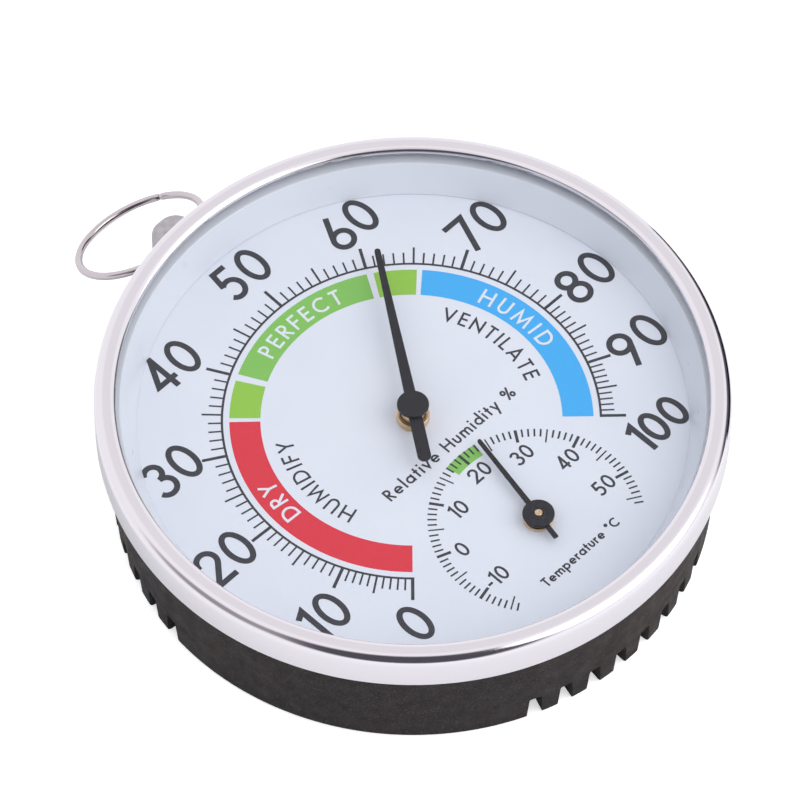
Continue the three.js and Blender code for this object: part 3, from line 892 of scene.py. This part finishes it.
def print_temperature_scale(black):
    layer = Print(2, (0, THERMO_Y))
    outer = 0.574 * SCALE_RADIUS
    for degrees in range(COLDEST, HOTTEST + 1):
        kind = tick_kind(degrees)
        inner = (0.495, 0.490, 0.525)[kind] * SCALE_RADIUS
        width = (0.5, 0.25, 0.30)[kind]
        layer.tick(inner, outer, temperature_bearing(degrees), width)
    layer.done("temperature_ticks", black)


def print_temperature_numerals(black):
    layer = Print(2, (0, THERMO_Y))
    bearings = [-103.1, -69.3, -35.1, 0.8, 35.5, 69.2, 104.2]
    height, stroke, gap = 2.85, 0.41, 0.13
    for i, bearing in enumerate(bearings):
        radius = {1: 0.434, 3: 0.423}.get(i, 0.415) * SCALE_RADIUS
        centre = on_bearing(radius, bearing)
        straight_text(layer, str(i * 10 - 10), centre, height, stroke, gap)
    layer.done("temperature_numerals", black)


def print_words(black, white):
    r = SCALE_RADIUS
    dark_stroke, pale_stroke = 0.38, 0.43
    dark = Print(2)
    curved_text(dark, "HUMIDIFY", 0.646 * r, 0.7375 * r, -108, -57, dark_stroke)
    curved_text(dark, "VENTILATE", 0.654 * r, 0.742 * r, 60, 114, dark_stroke)
    straight_text(dark, "Relative Humidity %", (0.026 * r, -0.256 * r), 2.28, 0.35, 0.19)
    straight_text(dark, "Temperature °C", (0.014 * r, -1.220 * r), 1.78, 0.31, 0.13)
    dark.done("dial_words_dark", black)
    pale = Print(2)
    curved_text(pale, "DRY", 0.829 * r, 0.927 * r, -90, -73, pale_stroke)
    curved_text(pale, "PERFECT", 0.832 * r, 0.930 * r, -17, 20, pale_stroke)
    curved_text(pale, "HUMID", 0.832 * r, 0.930 * r, 71, 102.5, pale_stroke)
    pale.done("dial_words_white", white)


def build_print():
    black = ink("ink_black", (54, 54, 62), (66, 66, 74))
    white = ink("ink_white", (236, 240, 246), (226, 230, 238))
    inks = {
        "band_red": ink("ink_red", (230, 50, 68), (225, 44, 62)),
        "band_light_green": ink("ink_light_green", (152, 206, 74), (147, 201, 68)),
        "band_green": ink("ink_green", (136, 201, 94), (131, 196, 88)),
        "band_blue": ink("ink_blue", (66, 181, 250), (60, 175, 245)),
    }
    print_bands(inks)
    print_humidity_scale(black)
    print_humidity_numerals(black)
    print_temperature_scale(black)
    print_temperature_numerals(black)
    print_words(black, white)


# ---- hands ----

# Each hand's body, its joint and its bearing at rest.
HANDS = {
    "hygro": ("humidity_hand", "humidity_pointer", 35.0),
    "thermo": ("temperature_hand", "temperature_pointer", 12.4),
}


def hand_outline(tip, tip_width, root_width, root, tail, tail_width, round_tail):
    """Half of the blade's outline mirrored, pointing along +Y."""
    half_tip, half_tail = tip_width / 2, tail_width / 2
    if round_tail:
        side = curve(0, half_tail - tail, half_tail, half_tail, 270, 360, 15)
    else:
        side = [(0, -tail), (half_tail, -tail)]
    side += [(half_tail, 0), (root_width / 2, root)]
    side += curve(0, tip - half_tip, half_tip, half_tip, 0, 90, 15)
    mirrored = [(-x, y) for x, y in reversed(side[1:-1])]
    return side + mirrored


def build_blade(prefix, outline, eye_radius, lacquer):
    """Pressed blade with a round eye under its hub."""
    body, joint, bearing = HANDS[prefix]
    place = joint_place(joint)
    low, high = cad_box(prefix + "_hand")
    blade = finish_mesh(prefix + "_blade", slab_mesh(outline, low.z, high.z), lacquer)
    eye_profile = [(0, low.z), (eye_radius, low.z), (eye_radius, high.z), (0, high.z)]
    eye = turned("eye", eye_profile, lacquer, 64)
    combine(blade, [eye], "UNION")
    blade.data.transform(Matrix.Rotation(-math.radians(bearing), 4, "Z"))
    blade.data.transform(Matrix.Translation(place.xy.to_3d() * MM))
    round_edges(blade, 0.07, 2)
    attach(blade, body)
    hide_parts(prefix + "_hand")


def build_hub(prefix, radius, thickness, bore, lacquer):
    """Disc on the blade: domed and closed, or with a raised rim round a bore."""
    body, joint, _ = HANDS[prefix]
    bottom = cad_box(prefix + "_hand")[1].z + 0.05
    top = bottom + thickness
    edge = [(radius, bottom, 0.06), (radius, top, 0.16)]
    if bore:
        rim = top + 0.08
        middle = [(1.35, top, 0.05), (1.25, rim, 0.05), (bore, rim, 0.05), (bore, bottom)]
        profile = edge + middle
    else:
        profile = [(0, bottom)] + edge + [(0, top + 0.04)]
    hub = turned(prefix + "_hub_disc", profile, lacquer, 96, joint_place(joint).xy)
    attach(hub, body)
    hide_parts(prefix + "_hub")


def build_hands(lacquer):
    r = SCALE_RADIUS
    main_radius, small_radius = 2.6, 2.6
    main = hand_outline(1.04 * r, 1.0, 1.9, 1.7, 0.354 * r, 2.2, True)
    small = hand_outline(0.567 * r, 0.65, 0.9, 1.6, 0.167 * r, 0.8, False)
    build_blade("hygro", main, main_radius - 0.5, lacquer)
    build_hub("hygro", main_radius, 0.55, None, lacquer)
    build_blade("thermo", small, small_radius - 0.5, lacquer)
    build_hub("thermo", small_radius, 0.45, 0.74, lacquer)


def build_sleeve_nut(prefix, centre, material):
    """Round nut on the dial under a hand."""
    low, high = cad_box(prefix + "_sleeve_nut")
    radius = high.x
    bore = 2.1
    profile = [
        (bore, low.z),
        (radius, low.z, 0.05),
        (radius, high.z, 0.18),
        (bore, high.z, 0.06),
    ]
    nut = turned(prefix + "_collar", profile, material, 96, centre)
    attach(nut, "case")
    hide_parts(prefix + "_sleeve_nut")


def build_arbor_tip(material):
    """The small arbor, which shows in the middle of the open hub, with a punched centre."""
    low, high = cad_box("thermo_arbor")
    centre = joint_place("temperature_pointer").xy
    radius = high.x
    punch, punch_depth = 0.24, 0.22
    profile = [
        (0, low.z),
        (radius, low.z, 0.08),
        (radius, high.z, 0.12),
        (punch, high.z, 0.03),
        (0, high.z - punch_depth),
    ]
    arbor = turned("thermo_arbor_turned", profile, material, 64, centre)
    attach(arbor, "temperature_hand")
    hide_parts("thermo_arbor")


# ---- hanger ----


def build_lug(material):
    """Soft-edged block on a shank, with a cross hole for the ring."""
    low, high = cad_box("hanger_lug")
    half = high.x
    foot = HOUSING_HIGH.x + 0.12
    corner = 0.85 * half
    corners = [(half, foot), (half, high.y, corner), (-half, high.y, corner), (-half, foot)]
    outline = rounded(corners, 8)
    lug = finish_mesh("hanger_block", slab_mesh(outline, low.z, high.z), material)
    round_edges(lug, 0.45, 4, 50)
    shank_radius, shank_length = 1.5, 8
    shank_profile = [(0, 0), (shank_radius, 0), (shank_radius, shank_length), (0, shank_length)]
    shank = turned("shank", shank_profile, material, 48)
    shank.data.transform(Matrix.Rotation(math.radians(-90), 4, "X"))
    shank.data.transform(Matrix.Translation(Vector((0, low.y, EYE.z)) * MM))
    eye_radius, reach = 1.35, half + 1
    eye_profile = [(0, -reach), (eye_radius, -reach), (eye_radius, reach), (0, reach)]
    eye = turned("eye_cutter", eye_profile, material, 48)
    eye.data.transform(Matrix.Rotation(math.radians(90), 4, "Y"))
    eye.data.transform(Matrix.Translation(EYE * MM))
    combine(lug, [shank], "UNION")
    combine(lug, [eye], "DIFFERENCE")
    round_edges(lug, 0.12, 2, 60)
    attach(lug, "case")
    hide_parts("hanger_lug")


def wire_mesh(radius, wire):
    """A ring of round wire about the origin, its two ends a fine slit apart."""
    slit = 0.08 / radius
    butt_angle = math.radians(33)
    start = butt_angle + slit / 2
    sweep = 2 * math.pi - slit
    around, along = 20, 180
    end_rounding = ((0.0, 0.72), (0.004, 0.93), (0.01, 1.0))  # (way along, thickness)
    stations = list(end_rounding)
    stations += [(i / along, 1.0) for i in range(3, along - 2)]
    stations += [(1 - t, s) for t, s in reversed(end_rounding)]
    rows = []
    bm = bmesh.new()
    for t, thickness in stations:
        angle = start + sweep * t
        outwards = Vector((math.cos(angle), math.sin(angle), 0))
        centre = outwards * radius
        row = []
        for k in range(around):
            b = 2 * math.pi * k / around
            offset = outwards * math.cos(b) + Vector((0, 0, math.sin(b)))
            row.append(bm.verts.new(centre + offset * wire * thickness))
        rows.append(row)
    for a, b in zip(rows, rows[1:]):
        for k in range(around):
            n = (k + 1) % around
            bm.faces.new((a[k], a[n], b[n], b[k]))
    bm.faces.new(rows[0][::-1])
    bm.faces.new(rows[-1])
    bmesh.ops.recalc_face_normals(bm, faces=bm.faces)
    return bm


def build_ring(material):
    """The wire ring, held in the lug's eye with its far side lower."""
    low, high = cad_box("hanging_ring")
    wire = 0.65  # radius
    radius = high.x - wire
    from_eye = radius - 0.35
    lean = math.asin((EYE.z - low.z - wire) / (from_eye + radius))
    bm = wire_mesh(radius, wire)
    bmesh.ops.translate(bm, vec=(0, from_eye, 0), verts=bm.verts)
    bmesh.ops.rotate(bm, matrix=Matrix.Rotation(-lean, 3, "X"), verts=bm.verts)
    bmesh.ops.translate(bm, vec=(0, EYE.y, EYE.z), verts=bm.verts)
    ring = finish_mesh("wire_ring", bm, material)
    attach(ring, "hanging_ring")
    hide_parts("hanging_ring")


# ---- carried-over CAD nodes ----


def dress_cad_nodes(metals):
    looks = {
        "lens": clear_glass(),
        "dial_plate": dial_enamel(),
        "hygro_coil": coil_strip("humidity_foil", (188, 160, 116), (164, 132, 88)),
        "thermo_coil": coil_strip("bimetal", (158, 155, 148), (138, 130, 122)),
        "hygro_arbor": metals["brass"],
        "hygro_hub": metals["lacquer"],
    }
    for prefix, metal in (("hygro", metals["brass"]), ("thermo", metals["thermo_brass"])):
        for part in ("sleeve", "rear_bearing", "collet"):
            looks[f"{prefix}_{part}"] = metal
        looks[prefix + "_frame"] = metals["steel"]
    for node in ("calibration_lever", "thermo_coil_post", "hanger_washer", "hanger_nut"):
        looks[node] = metals["steel"]
    for node, material in looks.items():
        shown = frame["nodes"][node]
        if shown.hide_render:
            continue
        for slot in shown.material_slots:
            slot.material = material
        if node not in ("lens", "dial_plate"):
            round_edges(shown, 0.05, 2, 50)


# ---- stage ----


def build_floor():
    """Pale floor that glows a little, to the camera only, so that soft shadows fade into white."""
    m = Material("pale_floor", (250, 250, 250), 0.9, Specular_IOR_Level=0.1, Emission_Strength=0.5)
    seen = m.node("ShaderNodeLightPath").outputs["Is Camera Ray"]
    glow = mix_colours(m.tree, seen, (0, 0, 0, 1), (1, 1, 1, 1))
    m.link(glow, m.shader.inputs["Emission Color"])
    m.vary_roughness(m.noise(40), 0.05)
    m.bump(m.noise(3, 2), 0.002)
    half = 1600
    outline = [(-half, -half), (half, -half), (half, half), (-half, half)]
    floor = finish_mesh("floor", slab_mesh(outline, -2, -0.02), m.material)


def build_black_card():
    """A card beside the case that only mirrors see: it draws the dark line down one shoulder."""
    m = Material("card_black", (24, 23, 28), 0.9, Specular_IOR_Level=0.0)
    m.vary_roughness(m.noise(5), 0.05)
    near, far, half, height = 125, 128, 50, 36
    azimuth = math.radians(-12)
    bm = slab_mesh([(near, -half), (far, -half), (far, half), (near, half)], 0, height)
    bmesh.ops.rotate(bm, matrix=Matrix.Rotation(azimuth, 3, "Z"), verts=bm.verts)
    card = finish_mesh("black_card", bm, m.material)
    card.visible_camera = False
    card.visible_diffuse = False
    card.visible_shadow = False


def towards(azimuth, elevation):
    """Unit vector at an azimuth from +X towards +Y and an elevation, both in degrees."""
    a, e = math.radians(azimuth), math.radians(elevation)
    return Vector((math.cos(a) * math.cos(e), math.sin(a) * math.cos(e), math.sin(e)))


CAMERA_AZIMUTH = -135.7
CAMERA_ELEVATION = 55.9
CAMERA_DISTANCE = 968.1
CAMERA_TARGET = Vector((1.1, 4.0, DIAL_Z))
CAMERA_LENS = 268.5


def build_camera():
    data = bpy.data.cameras.new("camera")
    data.lens = CAMERA_LENS
    data.sensor_width = 36
    data.clip_start = 0.05
    data.clip_end = 20
    camera = bpy.data.objects.new("camera", data)
    back = towards(CAMERA_AZIMUTH, CAMERA_ELEVATION)
    camera.location = (CAMERA_TARGET + back * CAMERA_DISTANCE) * MM
    camera.rotation_mode = "QUATERNION"
    camera.rotation_quaternion = (-back).to_track_quat("-Z", "Y")
    bpy.context.scene.collection.objects.link(camera)
    bpy.context.scene.camera = camera


def area_light(name, azimuth, elevation, distance, size, watts):
    data = bpy.data.lights.new(name, "AREA")
    data.shape = "DISK"
    data.size = size
    data.energy = watts
    lamp = bpy.data.objects.new(name, data)
    back = towards(azimuth, elevation)
    lamp.location = back * distance
    lamp.rotation_mode = "QUATERNION"
    lamp.rotation_quaternion = (-back).to_track_quat("-Z", "Y")
    bpy.context.scene.collection.objects.link(lamp)


def patch_mask(tree, directions, target, half_width, edge):
    """1 within half_width degrees of a direction, 0 beyond the soft edge."""
    facing = tree.nodes.new("ShaderNodeVectorMath")
    facing.operation = "DOT_PRODUCT"
    facing.inputs[1].default_value = target
    tree.links.new(directions, facing.inputs[0])
    shade = tree.nodes.new("ShaderNodeMapRange")
    shade.interpolation_type = "SMOOTHSTEP"
    shade.inputs["From Min"].default_value = math.cos(math.radians(half_width + edge))
    shade.inputs["From Max"].default_value = math.cos(math.radians(half_width))
    tree.links.new(facing.outputs["Value"], shade.inputs["Value"])
    return shade.outputs["Result"]


def mix_colours(tree, factor, first, second):
    """A colour mix; first and second are colours or sockets."""
    mix = tree.nodes.new("ShaderNodeMix")
    mix.data_type = "RGBA"
    tree.links.new(factor, mix.inputs["Factor"])
    for source, target in ((first, mix.inputs[6]), (second, mix.inputs[7])):
        if isinstance(source, tuple):
            target.default_value = source
        else:
            tree.links.new(source, target)
    return mix.outputs[2]


def build_studio():
    """A white tent of even light, in which mirrors also see a few darker patches."""
    world = bpy.data.worlds.new("studio")
    bpy.context.scene.world = world
    world.use_nodes = True
    tree = world.node_tree
    directions = tree.nodes.new("ShaderNodeTexCoord").outputs["Generated"]
    ceiling = (towards(44, 56), 5, 22, (0.98, 0.96, 0.98, 1))
    photographer = (towards(CAMERA_AZIMUTH, 38), 28, 18, (0.09, 0.085, 0.105, 1))
    gap = (towards(-8, 6), 16, 12, (0.09, 0.09, 0.11, 1))
    dim_side = (towards(163, 30), 8, 22, (0.38, 0.36, 0.38, 1))
    mirrored = (1.12, 1.1, 1.12, 1)
    for target, half_width, edge, colour in (ceiling, photographer, gap, dim_side):
        mask = patch_mask(tree, directions, target, half_width, edge)
        mirrored = mix_colours(tree, mask, mirrored, colour)
    glossy = tree.nodes.new("ShaderNodeLightPath").outputs["Is Glossy Ray"]
    light = mix_colours(tree, glossy, (1.0, 1.01, 1.04, 1), mirrored)
    tree.links.new(light, tree.nodes["Background"].inputs["Color"])
    area_light("key", -65, 43, 1.3, 1.4, 7.8)
    view = bpy.context.scene.view_settings
    view.view_transform = "Standard"
    view.look = "None"


def main():
    build_camera()
    metals = {
        "brass": brass("brass"),
        "thermo_brass": brass("thermo_brass", (0, THERMO_Y)),
        "steel": brushed_steel(),
        "lacquer": black_lacquer(),
    }
    build_bezel(polished_chrome())
    build_housing(case_plastic())
    build_spacer(white_plastic())
    build_print()
    build_sleeve_nut("hygro", (0, 0), metals["brass"])
    build_sleeve_nut("thermo", (0, THERMO_Y), metals["thermo_brass"])
    build_arbor_tip(metals["thermo_brass"])
    build_hands(metals["lacquer"])
    build_lug(satin_lug_metal())
    build_ring(wire_chrome())
    dress_cad_nodes(metals)
    build_floor()
    build_black_card()
    build_studio()


main()
